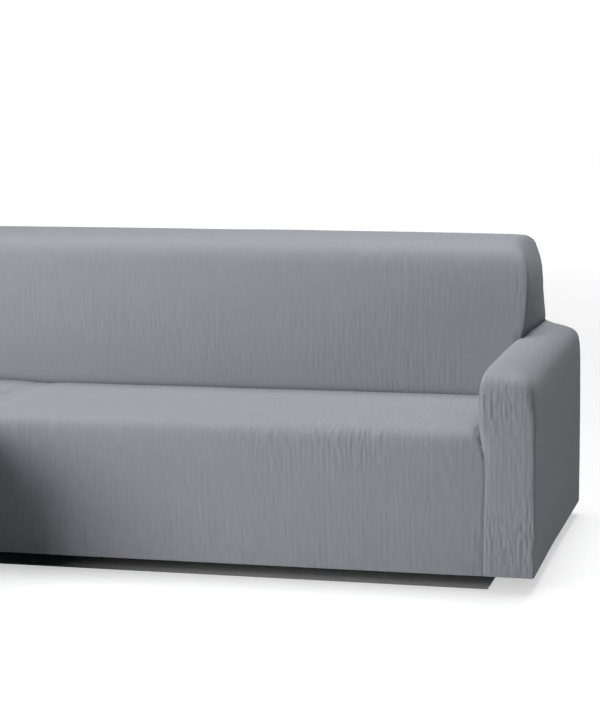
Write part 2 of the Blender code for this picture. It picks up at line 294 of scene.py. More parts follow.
@dataclass(frozen=True)
class Cage:
    """Coarse quads of the cover's face, built from grids that share their border points."""

    block: Block
    points: list[Point] = field(default_factory=list)
    known: dict[Point, int] = field(default_factory=dict)
    patches: list[Patch] = field(default_factory=list)
    levels: int = 5
    digits: int = 5
    hem_turn: float = 0.003
    fold_angle: float = 0.4
    flat_angle: float = 0.18

    def vertex(self, point: Point) -> int:
        """Number a point, once for every patch that touches it.

        Args:
            point: Inset, depth and height.

        Returns:
            The point's number.
        """
        key = tuple(round(value, self.digits) for value in point)
        if key not in self.known:
            self.known[key] = len(self.points)
            self.points.append(self.block.place(point))
        return self.known[key]

    def patch(self, panel: Panel, rows: Grid, grain: Grain = Grain.ACROSS) -> None:
        """Add a grid of insets, depths and heights to a panel."""
        ids = [[self.vertex(point) for point in row] for row in rows]
        self.patches.append(Patch(panel, grain, ids))

    def build(self) -> bmesh.types.BMesh:
        """Join all patches, turn their faces outwards and mark tucks and flat seams as sharp.

        Returns:
            The coarse mesh, with each face's patch number and its place in that patch as UVs.
        """
        bm = bmesh.new()
        verts = [bm.verts.new(point) for point in self.points]
        owner = bm.faces.layers.int.new("patch")
        uvs = bm.loops.layers.uv.new("place")
        for number, patch in enumerate(self.patches):
            for row, (low, high) in enumerate(zip(patch.ids, patch.ids[1:])):
                for column, ids in enumerate(zip(low, low[1:], high[1:], high)):
                    face = bm.faces.new([verts[index] for index in ids])
                    face[owner] = number
                    for loop, corner in zip(face.loops, QUAD_CORNERS):
                        loop[uvs].uv = (column + corner[0], row + corner[1])
        bmesh.ops.recalc_face_normals(bm, faces=bm.faces)
        if max(bm.faces, key=lambda face: face.calc_center_median().z).normal.z < 0.0:
            bmesh.ops.reverse_faces(bm, faces=bm.faces)
        crease = bm.edges.layers.float.new("crease_edge")
        for edge in bm.edges:
            if edge.is_boundary:
                continue
            first, second = edge.link_faces
            fold = (second.calc_center_median() - first.calc_center_median()).dot(first.normal)
            turned = first.normal.angle(second.normal)
            panels = {self.patches[face[owner]].panel for face in (first, second)}
            flat_seam = len(panels) > 1 and panels != DECK_PANELS and turned < self.flat_angle
            if turned > self.fold_angle and fold > 0.0 or flat_seam:
                edge[crease] = 1.0
        for vert in bm.verts:
            if vert.is_boundary:
                outwards = sum((face.normal for face in vert.link_faces), Vector())
                vert.co -= self.hem_turn * outwards.normalized()
        return bm

    def smooth(self) -> None:
        """Subdivide the cage, and give every patch its smooth grid of places and normals."""
        bm = self.build()
        mesh = bpy.data.meshes.new("cover_face")
        bm.to_mesh(mesh)
        bm.free()
        holder = add_object("cover_face", mesh)
        modifier = holder.modifiers.new("Smooth", "SUBSURF")
        modifier.levels = self.levels
        modifier.render_levels = self.levels
        modifier.uv_smooth = "NONE"
        evaluated = holder.evaluated_get(bpy.context.evaluated_depsgraph_get())
        face = bpy.data.meshes.new_from_object(evaluated)
        places = read(face.vertices, "co", 3)
        normals = read(face.vertex_normals, "vector", 3)
        corners = read(face.loops, "vertex_index", 1, np.int32).ravel()
        owners = np.repeat(read(face.attributes["patch"].data, "value", 1, np.int32).ravel(), 4)
        fraction = 2**self.levels
        spots = np.rint(read(face.uv_layers["place"].data, "uv", 2) * fraction).astype(int)
        for number, patch in enumerate(self.patches):
            mine = owners == number
            cells = (len(patch.ids) - 1, len(patch.ids[0]) - 1)
            index = np.zeros([cell * fraction + 1 for cell in cells], int)
            index[spots[mine, 1], spots[mine, 0]] = corners[mine]
            patch.places = places[index]
            patch.normals = normals[index]
        bpy.data.objects.remove(holder)
        for used in (face, mesh):
            bpy.data.meshes.remove(used)

    def counts(self, step: float, close_step: float, short: float) -> dict[EdgeKey, int]:
        """Share one number of subdivisions among all the edges that face each other across quads.

        Args:
            step: Spacing of the coarse lines.
            close_step: Their spacing where the longest edge of a strip is short, as on a roll.
            short: The longest edge that counts as short.

        Returns:
            The number of coarse intervals for each cage edge.
        """
        parent: dict[EdgeKey, EdgeKey] = {}

        def root(key: EdgeKey) -> EdgeKey:
            """Follow an edge to the one that stands for its strip.

            Args:
                key: A cage edge.

            Returns:
                The strip's own edge.
            """
            parent.setdefault(key, key)
            while parent[key] != key:
                key = parent[key]
            return key

        for patch in self.patches:
            for low, high in zip(patch.ids, patch.ids[1:]):
                for a, b, c, d in zip(low, low[1:], high[1:], high):
                    parent[root(edge_key(a, b))] = root(edge_key(d, c))
                    parent[root(edge_key(a, d))] = root(edge_key(b, c))
        longest: dict[EdgeKey, float] = {}
        for key in parent:
            length = math.dist(self.points[key[0]], self.points[key[1]])
            longest[root(key)] = max(longest.get(root(key), 0.0), length)
        found = {}
        for key in parent:
            length = longest[root(key)]
            found[key] = max(1, math.ceil(length / (close_step if length <= short else step)))
        return found


@dataclass(frozen=True)
class Seats:
    """Main seat and chaise: padded fronts, and decks that sink into their tucks."""

    block: Block
    deck_drops: tuple[float, ...] = (-0.003, -0.003, 0.005, 0.014)
    crease_drop: float = 0.015
    chaise_drop: float = 0.009
    crown: float = 0.004
    seam_dip: float = 0.003
    nose_inset: float = 0.160
    seam_insets: tuple[float, ...] = (0.138, 0.136, 0.127)
    chaise_middle: float = -0.280

    @property
    def chaise_depths(self) -> tuple[float, ...]:
        """Depths of the chaise's lines in front of the main seat."""
        reach = self.block.chaise_reach
        return (-reach, self.block.seat_edge - reach, self.chaise_middle, 0.0)

    def point(self, inset: float, depth: float, height: float) -> Point:
        """Shape a point of the seats.

        Args:
            inset: Inset on the plain block.
            depth: Depth on the plain block.
            height: Height on the plain block.

        Returns:
            The point with padded edges, sunk decks and the arm's seam drawn in.
        """
        block = self.block
        edge = block.seat_edge
        at_top = height == block.seat_height
        inward = {block.chaise_crease: 1, block.left_end: -1}.get(inset, 0)
        beside = inset <= block.chaise_crease or inset == block.left_end
        at_nose = depth == 0.0 and at_top and beside
        faces = []
        if depth == -block.chaise_reach or at_nose:
            faces.append((1, 1, edge))
        if inward and (depth < 0.0 or at_nose):
            faces.append((0, inward, edge))
        if at_top:
            faces.append((2, -1, edge))
        if len(faces) > 1:
            start = self.nose_inset if inset == block.arm_width else inset
            return block.draw_in((start, depth, height), faces)
        if inset == block.arm_width and not at_top:
            return (self.seam_insets[block.skirt_heights.index(height)], self.seam_dip, height)
        if at_top and depth == block.seat_depth:
            return (inset, depth, block.foot_height(inset))
        drop = 0.0
        if at_top and depth > 0.0:
            drop = self.deck_drops[block.deck_depths.index(depth)]
            if inset in (block.arm_width, block.chaise_crease, block.left_end):
                deepest = self.chaise_drop if inset == block.chaise_crease else self.crease_drop
                drop = max(drop, deepest * min(1.0, depth / block.deck_depths[1]))
        elif at_top and self.chaise_depths[1] < depth:
            drop = -self.crown
        return (inset, depth, height - drop)

    def lay(self, cage: Cage) -> None:
        """Add the main seat's front and deck, and the chaise's deck, front and both side drops.

        Args:
            cage: The cage that takes the patches.
        """
        block = self.block
        heights = block.skirt_heights + (block.seat_height,)
        drop = [(0.0, height) for height in heights]
        deck = [(depth, block.seat_height) for depth in block.deck_depths]
        rows = [[self.point(inset, *line) for inset in block.main_insets] for line in drop + deck]
        cage.patch(Panel.MAIN_SEAT, rows)
        front = [(-block.chaise_reach, height) for height in block.skirt_heights]
        reach = [(depth, block.seat_height) for depth in self.chaise_depths]
        lines = front + reach + deck
        rows = [[self.point(inset, *line) for inset in block.chaise_insets] for line in lines]
        cage.patch(Panel.CHAISE_SEAT, rows)
        depths = self.chaise_depths
        for inset in (block.chaise_crease, block.left_end):
            rows = [[self.point(inset, depth, height) for depth in depths] for height in heights]
            cage.patch(Panel.CHAISE_SEAT, rows)


@dataclass(frozen=True)
class Arms:
    """Both arms: block fronts that open into rolled tops, with flat outer sides."""

    block: Block
    corner: float = 0.009
    inner_edge: float = 0.026
    top_edge: float = 0.088
    top_side: float = 0.060
    top_widening: float = 0.024
    rear_corner: float = 0.010
    rear_edge: float = 0.098
    rear_drop: float = 0.006
    drop_start: float = 0.4
    front_flare: float = 0.006
    tuck_pull: float = 0.008
    opening: float = 6.0
    seat_line: float = 0.424
    roll_line: float = 0.515

    @property
    def heights(self) -> tuple[float, ...]:
        """Heights of the arm's lines."""
        return self.block.skirt_heights + (self.seat_line, self.roll_line, self.block.arm_height)

    @property
    def tuck_corner(self) -> Point:
        """The place where the inner top edge runs into the backrest."""
        block, pull = self.block, self.tuck_pull
        return (block.arm_width - pull, block.seat_depth, block.arm_height - pull)

    def top_line(self, depth: float) -> float:
        """Return how far the top's outer line stands off, which opens out towards the front."""
        return self.top_side + self.top_widening * max(0.0, 1.0 - depth / self.block.seat_depth)

    def corner_line(self, height: float, at_top: float) -> float:
        """Find how far the front corner's line stands off, which opens out as it rises.

        Args:
            height: Height of the line.
            at_top: How far it stands off at the arm's top.

        Returns:
            The distance from the corner.
        """
        start = self.block.skirt_line + self.top_edge
        share = max(0.0, (height - start) / (self.block.arm_height - start))
        return self.corner + (at_top - self.corner) * share**self.opening

    def point(self, inset: float, depth: float, height: float, foot: float) -> Point:
        """Return a point of the arm's block with its padded edges rounded.

        Args:
            inset: Inset on the plain block.
            depth: Depth on the plain block.
            height: Height on the plain block.
            foot: Inset at which the backrest stands on the arm.

        Returns:
            The rounded point.
        """
        block = self.block
        at_top = height == block.arm_height
        if at_top and (inset, depth) == (block.arm_width, block.seat_depth):
            return self.tuck_corner
        at_inner = inset == block.arm_width and depth < block.seat_depth
        at_rear = depth == block.main_depth
        upright = self.rear_corner if at_rear else self.corner_line(height, self.top_edge)
        level = self.rear_edge if at_rear else self.top_line(depth)
        if depth == 0.0:
            level = self.top_edge
        faces = []
        if inset == 0.0:
            faces.append((0, 1, self.top_line(depth) if at_top else upright))
        if at_inner:
            faces.append((0, -1, self.inner_edge))
        if depth == 0.0:
            faces.append((1, 1, level if at_top else self.inner_edge if at_inner else upright))
        if at_rear and inset < foot:
            faces.append((1, -1, level if at_top else upright))
        if at_top:
            faces.append((2, -1, self.inner_edge if at_inner and depth > 0.0 else level))
        if inset == 0.0:
            inset -= self.front_flare * max(0.0, 1.0 - depth / block.deck_depths[2])
            if at_top and depth > 0.0:
                height -= self.rear_drop * (self.drop_start + depth / block.main_depth)
        point = (inset, depth, height)
        return block.draw_in(point, faces) if len(faces) > 1 else point

    def lay(self, cage: Cage, seats: Seats, back: Backrest, left: bool) -> None:
        """Add one arm: front, inner face and rolled top as one panel, and its flat side as another.

        Args:
            cage: The cage that takes the patches.
            seats: The seats, for the seam that they share with the arm.
            back: The backrest, for the lines that it shares with the arm.
            left: True for the left arm, which is the right arm's mirror image.
        """
        block = self.block
        seat_inset = block.left_end if left else block.arm_width
        panel = Panel.LEFT_ARM if left else Panel.RIGHT_ARM
        side_panel = Panel.LEFT_SIDE if left else Panel.RIGHT_SIDE
        foot = back.foot
        inner_line = block.arm_width - self.inner_edge

        def own(point: Point) -> Point:
            """Put a right-hand point on the arm's own half."""
            return block.mirror(point) if left else point

        def arm(inset: float, depth: float, height: float) -> Point:
            """Return the right-hand arm's point."""
            return self.point(inset, depth, height, foot)

        def patch(owner: Panel, rows: Grid, grain: Grain = Grain.BOTH) -> None:
            """Add right-hand rows to the arm's own half."""
            cage.patch(owner, [[own(point) for point in row] for row in rows], grain)

        front = []
        for height in self.heights:
            corner = self.corner_line(height, self.top_line(0.0))
            if height in block.skirt_heights:
                insets, seam = (0.0, corner, foot), own(seats.point(seat_inset, 0.0, height))
            else:
                insets, seam = (0.0, corner, inner_line), arm(block.arm_width, 0.0, height)
            front.append([arm(inset, 0.0, height) for inset in insets] + [seam])
        patch(panel, front)

        depths = (0.0, self.top_edge) + block.deck_depths[1:]
        top = []
        for depth in depths:
            third = back.foot_inset(depth) if depth == block.seat_depth else inner_line
            insets = (0.0, self.top_line(depth), third, block.arm_width)
            top.append([arm(inset, depth, block.arm_height) for inset in insets])
        patch(panel, top)
        ledge_depths = [back.end_depth(depth, 0.0, self) for depth in back.depths]
        ledge = []
        for depth in ledge_depths:
            insets = (0.0, self.top_line(depth), back.foot_inset(depth))
            ledge.append([arm(inset, depth, block.arm_height) for inset in insets])
        patch(panel, ledge)

        toe = [(0.0, block.skirt_heights[-1])]
        toe += [(depth, block.seat_height) for depth in (0.0,) + block.deck_depths]
        low = [own(seats.point(seat_inset, *line)) for line in toe]
        high = [arm(block.arm_width, 0.0, self.roll_line)]
        high += [arm(block.arm_width, depth, block.arm_height) for depth in depths]
        middle = [tuple((a + b) / 2 for a, b in zip(*pair)) for pair in zip(low, high)]
        middle[0] = arm(block.arm_width, 0.0, self.seat_line)
        middle[-1] = (block.arm_width, block.seat_depth, back.lower_heights[1])
        patch(panel, [low, middle, high])

        side = []
        for height in self.heights:
            rear = self.rear_edge if height == block.arm_height else self.rear_corner
            lines = [0.0, self.corner_line(height, self.top_edge), *block.deck_depths[1:]]
            lines += [*ledge_depths[1:3], block.main_depth - rear, block.main_depth]
            side.append([arm(0.0, depth, height) for depth in lines])
        patch(panel, [row[:2] for row in side])
        patch(panel, [row[1:] for row in side[-2:]])
        patch(side_panel, [row[1:] for row in side[:-1]], Grain.ACROSS)


@dataclass(frozen=True)
class Backrest:
    """The backrest: crowned face, flared ends, rolled top, and the flat rear of the cover."""

    block: Block
    side: float = 0.121
    side_turn: float = 0.020
    foot: float = 0.099
    foot_turn: float = 0.024
    edge: float = 0.098
    corner: float = 0.013
    mid_line: float = 0.010
    top_line: float = 0.050
    next_line: float = 0.020
    face_pull: float = 0.050
    top_pulls: tuple[float, float] = (0.150, 0.200)
    rear_pull: float = 0.270
    top_dip: float = 0.004
    crown: float = 0.018
    foot_curve: float = 0.7
    flare_power: int = 3
    round_power: int = 8
    front_power: int = 4
    rear_power: int = 2
    end_middle: float = 0.765
    nook_middle: float = 0.486
    face_middle: float = 0.668
    digits: int = 6

    @property
    def insets(self) -> tuple[float, ...]:
        """Insets of the backrest's lines."""
        return (self.side,) + self.block.middle_insets + (self.block.width - self.side,)

    @property
    def depths(self) -> tuple[float, ...]:
        """Depths of the lines across the backrest's ends and top."""
        block = self.block
        return (
            block.seat_depth,
            block.seat_depth + self.corner,
            self.end_middle,
            block.main_depth - self.edge,
            block.main_depth,
        )

    @property
    def lower_heights(self) -> tuple[float, ...]:
        """Heights of the lines between the seat's tuck and the arm's top."""
        block = self.block
        return (block.seat_height - block.foot_drop, self.nook_middle, block.arm_height)

    @property
    def upper_heights(self) -> tuple[float, ...]:
        """Heights of the lines above the arm."""
        block = self.block
        top = block.back_height
        return (block.arm_height, self.face_middle, top - self.edge, top)

    def nearness(self, depth: float) -> float:
        """Return 0 at the rear and 1 at the backrest's face."""
        block = self.block
        return max(0.0, (block.main_depth - depth) / (block.main_depth - block.seat_depth))

    def foot_inset(self, depth: float) -> float:
        """Return the inset at which the end stands on the arm, further in towards the face."""
        return self.foot + self.foot_turn * self.nearness(depth) ** self.foot_curve

    def side_inset(self, depth: float, rise: float) -> float:
        """Return the inset of the end, which runs from its foot to its own upright face."""
        upright = self.side - self.side_turn * self.nearness(depth)
        return upright + (self.foot_inset(depth) - upright) * (1.0 - rise) ** self.flare_power

    def end_depth(self, depth: float, rise: float, arms: Arms) -> float:
        """Let the end's support lines open out as they rise from the arm to the backrest's top.

        Args:
            depth: Depth on the plain block.
            rise: 0 at the arm's top and 1 at the backrest's top.
            arms: The arms, whose rear line the end meets.

        Returns:
            The line's depth at that rise.
        """
        if depth == self.depths[1]:
            return depth + (self.edge - self.corner) * rise**self.front_power
        if depth == self.depths[3]:
            return depth + (self.edge - arms.rear_edge) * (1.0 - rise) ** self.rear_power
        return depth

    def point(self, inset: float, depth: float, height: float, arms: Arms) -> Point:
        """Return a point of the backrest, with padded edges, flared ends and a crowned face.

        Args:
            inset: Inset on the plain block.
            depth: Depth on the plain block.
            height: Height on the plain block.
            arms: The arms, for the lines that they share with the backrest.

        Returns:
            The shaped point.
        """
        block = self.block
        at_foot = height == self.lower_heights[0]
        if inset > block.right:
            twin = self.point(round(block.width - inset, self.digits), depth, height, arms)
            across, back, up = block.mirror(twin)
            return (across, back, block.foot_height(inset) if at_foot else up)
        if (inset, depth, height) == (block.arm_width, block.seat_depth, block.arm_height):
            return arms.tuck_corner
        rise = max(0.0, (height - block.arm_height) / (block.back_height - block.arm_height))
        flare = (1.0 - rise) ** self.flare_power
        at_top = height == block.back_height
        point = [inset, self.end_depth(depth, rise, arms), height]
        if inset == self.side:
            point[0] = self.side_inset(point[1], rise)
        elif inset in block.main_insets[:2]:
            spread = block.arm_width - self.foot_inset(block.seat_depth) - self.mid_line
            rounding = (self.top_line - self.mid_line) * rise**self.round_power
            line = self.mid_line + spread * flare + rounding
            point[0] = self.side_inset(block.seat_depth, rise) + line
            point[2] -= self.top_dip if at_top else 0.0
            if inset == block.main_insets[1]:
                apart = block.main_insets[1] - block.arm_width - self.next_line
                point[0] += self.next_line * (1.0 + rise) + apart * flare
        elif depth == block.seat_depth:
            middle = (self.lower_heights[0] + self.upper_heights[2]) / 2
            half = self.upper_heights[2] - middle
            point[1] -= self.crown * max(0.0, 1.0 - ((height - middle) / half) ** 2)
        at_end = at_top and inset == self.side
        radius = self.edge if at_top else self.corner
        faces = []
        if inset == self.side:
            pulled = self.face_pull if depth == block.seat_depth else self.top_pulls[0]
            faces.append((0, 1, pulled if at_end else radius))
        if depth in (block.seat_depth, block.main_depth):
            faces.append((1, 1 if depth == block.seat_depth else -1, radius))
        if at_top:
            pulled = self.rear_pull if depth == block.main_depth else self.top_pulls[1]
            faces.append((2, -1, pulled if at_end else radius))
        return block.draw_in(point, faces) if len(faces) > 1 and rise > 0.0 else tuple(point)

    def lay(self, cage: Cage, arms: Arms) -> None:
        """Add the inside back, which laps onto the rear, and the outside back.

        Args:
            cage: The cage that takes the patches.
            arms: The arms, for the lines that they share with the backrest.
        """
        block, insets, depths = self.block, self.insets, self.depths
        inside, outside = Panel.INSIDE_BACK, Panel.OUTSIDE_BACK

        def row(places: list[Point]) -> list[Point]:
            """Shape a row of insets, depths and heights."""
            return [self.point(*place, arms) for place in places]

        def rows(depth: float, heights: tuple[float, ...], across: tuple[float, ...]) -> Grid:
            """Return upright rows at one depth."""
            return [row([(inset, depth, height) for inset in across]) for height in heights]

        cage.patch(inside, rows(block.seat_depth, self.lower_heights, block.middle_insets))
        cage.patch(inside, rows(block.seat_depth, self.upper_heights, insets))
        for end in (self.side, block.width - self.side):
            lines = self.upper_heights
            cage.patch(inside, [row([(end, depth, line) for depth in depths]) for line in lines])
        top = block.back_height
        cage.patch(inside, [row([(inset, depth, top) for inset in insets]) for depth in depths])
        rear = rows(block.main_depth, self.upper_heights, insets)
        cage.patch(outside, [line[1:-1] for line in rear[:-1]])
        cage.patch(inside, [line[:2] for line in rear[:-1]])
        cage.patch(inside, [line[-2:] for line in rear[:-1]])
        cage.patch(inside, rear[-2:])
        lower = []
        for height in arms.heights:
            corner = max(arms.rear_corner, arms.corner_line(height, arms.top_side))
            outer = (0.0, corner, self.foot)
            right = [arms.point(inset, block.main_depth, height, self.foot) for inset in outer]
            middle = [(inset, block.main_depth, height) for inset in block.middle_insets]
            lower.append(right + middle + [block.mirror(point) for point in reversed(right)])
        cage.patch(outside, lower[:-1])
        cage.patch(outside, [line[3:-3] for line in lower[-2:]])
        cage.patch(Panel.RIGHT_ARM, [line[:4] for line in lower[-2:]], Grain.BOTH)
        cage.patch(Panel.LEFT_ARM, [line[-4:] for line in lower[-2:]], Grain.BOTH)


class Noise:
    """Smooth seeded noise in three dimensions, from -1 to 1, that repeats after its own period."""

    def __init__(self, draw: Draw, period: int = 48) -> None:
        """Draw the noise's values.

        Args:
            draw: The draw, with its seed.
            period: Number of cells before it repeats.
        """
        self.period = period
        self.values = np.random.default_rng(draw.value).uniform(-1.0, 1.0, (period,) * 3)

    def at(self, spots: np.ndarray) -> np.ndarray:
        """Read the noise at some points.

        Args:
            spots: The points, measured in cells.

        Returns:
            One value for each point.
        """
        low = np.floor(spots).astype(int)
        share = spots - low
        share = share * share * (3.0 - 2.0 * share)
        total = np.zeros(len(spots))
        for corner in np.ndindex(2, 2, 2):
            weight = np.prod(np.where(corner, share, 1.0 - share), axis=1)
            index = (low + corner) % self.period
            total += weight * self.values[index[:, 0], index[:, 1], index[:, 2]]
        return total


@dataclass(frozen=True)
class Crease:
    """A soft trough, or a ridge where its depth is below zero, between two points."""

    start: Point
    end: Point
    depth: float
    width: float
    weights: Point = (1.0, 1.0, 1.0)
    run_out: tuple[float, float] = (-0.05, 0.3)

    def relief(self, places: np.ndarray) -> np.ndarray:
        """Sink or raise the cloth, with the ends run out softly.

        Args:
            places: The cloth's places.

        Returns:
            How far each place moves outwards.
        """
        start = np.array(self.start)
        along = np.array(self.end) - start
        length = np.linalg.norm(along)
        share = (places - start) @ along / length**2
        near = start + np.clip(share, 0.0, 1.0)[:, None] * along
        away = np.linalg.norm((places - near) * self.weights, axis=1) / self.width
        fade = smoothstep(*self.run_out, share) * smoothstep(*self.run_out, 1.0 - share)
        return -self.depth * np.exp(-(away**2)) * fade


@dataclass(frozen=True)
class RibRelief:
    """Fine crinkled ribs that wander, fork and merge."""

    pitch: float = 0.0162
    second_pitch: float = 0.0135
    height: float = 0.00044
    wander: float = 0.26
    wander_across: float = 0.018
    wander_along: float = 0.050
    swap_across: float = 0.026
    swap_along: float = 0.045
    swap_turn: tuple[float, float] = (-0.45, 0.45)
    crinkle_across: float = 0.0066
    crinkle_along: float = 0.024
    crinkle_share: float = 0.60
    crinkle_gain: float = 2.3
    patch_size: float = 0.120
    mean: float = 0.85
    least: float = 0.45
    side_gain: float = 1.3
    top_share: float = 0.4
    side_reach: tuple[float, float] = (0.25, 1.05)
    body: float = 0.0007
    body_size: float = 0.200
    roll_fade: tuple[float, float] = (0.12, 0.38)

    def relief(
        self, across: np.ndarray, along: np.ndarray, places: np.ndarray, normals: np.ndarray
    ) -> tuple[np.ndarray, np.ndarray, np.ndarray]:
        """Work out the ribs' height, and a weight for the shade painted into their valleys.

        Args:
            across: Each place's coordinate across the ribs.
            along: Two coordinates for each place that change along the ribs.
            places: The places.
            normals: The cloth's normals there.

        Returns:
            The ribs' relief, the broad swell's relief, and the painted shade's weight, 0 in valleys
            to 1 on ridges.
        """

        def spots(size_across: float, size_along: float) -> np.ndarray:
            """Measure the places in cells of noise."""
            return np.column_stack([across / size_across, along / size_along])

        wander = self.wander * Noise(Draw.WANDER).at(spots(self.wander_across, self.wander_along))
        changes = Noise(Draw.SWAP).at(spots(self.swap_across, self.swap_along))
        swap = smoothstep(*self.swap_turn, changes)
        uneven = Noise(Draw.STRENGTH).at(spots(self.patch_size, self.patch_size))
        strength = np.maximum(self.least, self.mean + uneven)
        strength *= 1.0 + self.side_gain * smoothstep(*self.side_reach, np.abs(places[:, 0]))
        strength *= 1.0 - (1.0 - self.top_share) * normals[:, 2] ** 2
        crinkles = Noise(Draw.CRINKLES).at(spots(self.crinkle_across, self.crinkle_along))
        crinkles *= self.crinkle_gain
        first = np.cos(2.0 * np.pi * (across / self.pitch + wander))
        second = np.cos(2.0 * np.pi * (across / self.second_pitch - wander))
        even = first * swap + second * (1.0 - swap)
        ribs = (even + (crinkles - even) * self.crinkle_share) * strength
        fade = 1.0 - smoothstep(*self.roll_fade, np.abs(normals[:, 0] * normals[:, 2]))
        swell = Noise(Draw.SWELL).at(places / self.body_size)
        # Painted shade: 0 deep in the ribs' valleys, 1 on their ridges; it darkens the knit's
        # colour in the valleys.
        rib_shade_mask = np.clip(0.5 + 0.5 * ribs * fade, 0.0, 1.0)
        return self.height * ribs * fade, self.body * swell, rib_shade_mask


@dataclass(frozen=True)
class EdgeRelief:
    """How the cloth sinks at a panel's border: a shallow sewn seam, or a deep tuck."""

    seam_depth: float = 0.0024
    seam_width: float = 0.0042
    tuck_depth: float = 0.0055
    tuck_width: float = 0.0080
    tuck_fold: tuple[float, float] = (0.12, 0.40)
    hem_height: float = 0.004
    fade: float = 0.060
    calming: float = 0.85
    touching: float = 1e-6
    least_lean: float = 0.3

    def sink(
        self, fold: np.ndarray, away: np.ndarray, heights: np.ndarray, seam_top: float
    ) -> tuple[np.ndarray, np.ndarray]:
        """Sink the cloth towards its border.

        Args:
            fold: How far the cloth folds outwards at the nearest border.
            away: The distance to that border.
            heights: The cloth's heights.
            seam_top: Height above which a flat seam leaves no groove.

        Returns:
            How far each place sinks, and how near it is to the border, from 0 to 1.
        """
        tuck = smoothstep(*self.tuck_fold, fold)
        shown = 1.0 - (1.0 - tuck) * smoothstep(seam_top - self.fade, seam_top, heights)
        depth = (self.seam_depth + (self.tuck_depth - self.seam_depth) * tuck) * shown
        width = self.seam_width + (self.tuck_width - self.seam_width) * tuck
        lean = np.sqrt(np.maximum(self.least_lean, 1.0 - fold**2))
        mitre = np.where(away < self.touching, 1.0 / lean, 1.0)
        near = np.exp(-((away / width) ** 2))
        return depth * near * mitre, near


@dataclass(frozen=True)
class Cut:
    """A panel's flat size, its ribs' strength, where its flat seams end, and its own creases."""

    panel: Panel
    width: float
    length: float
    area: float
    ribs: float = 1.0
    seam_top: float = ABOVE_ALL
    creases: tuple[Crease, ...] = ()


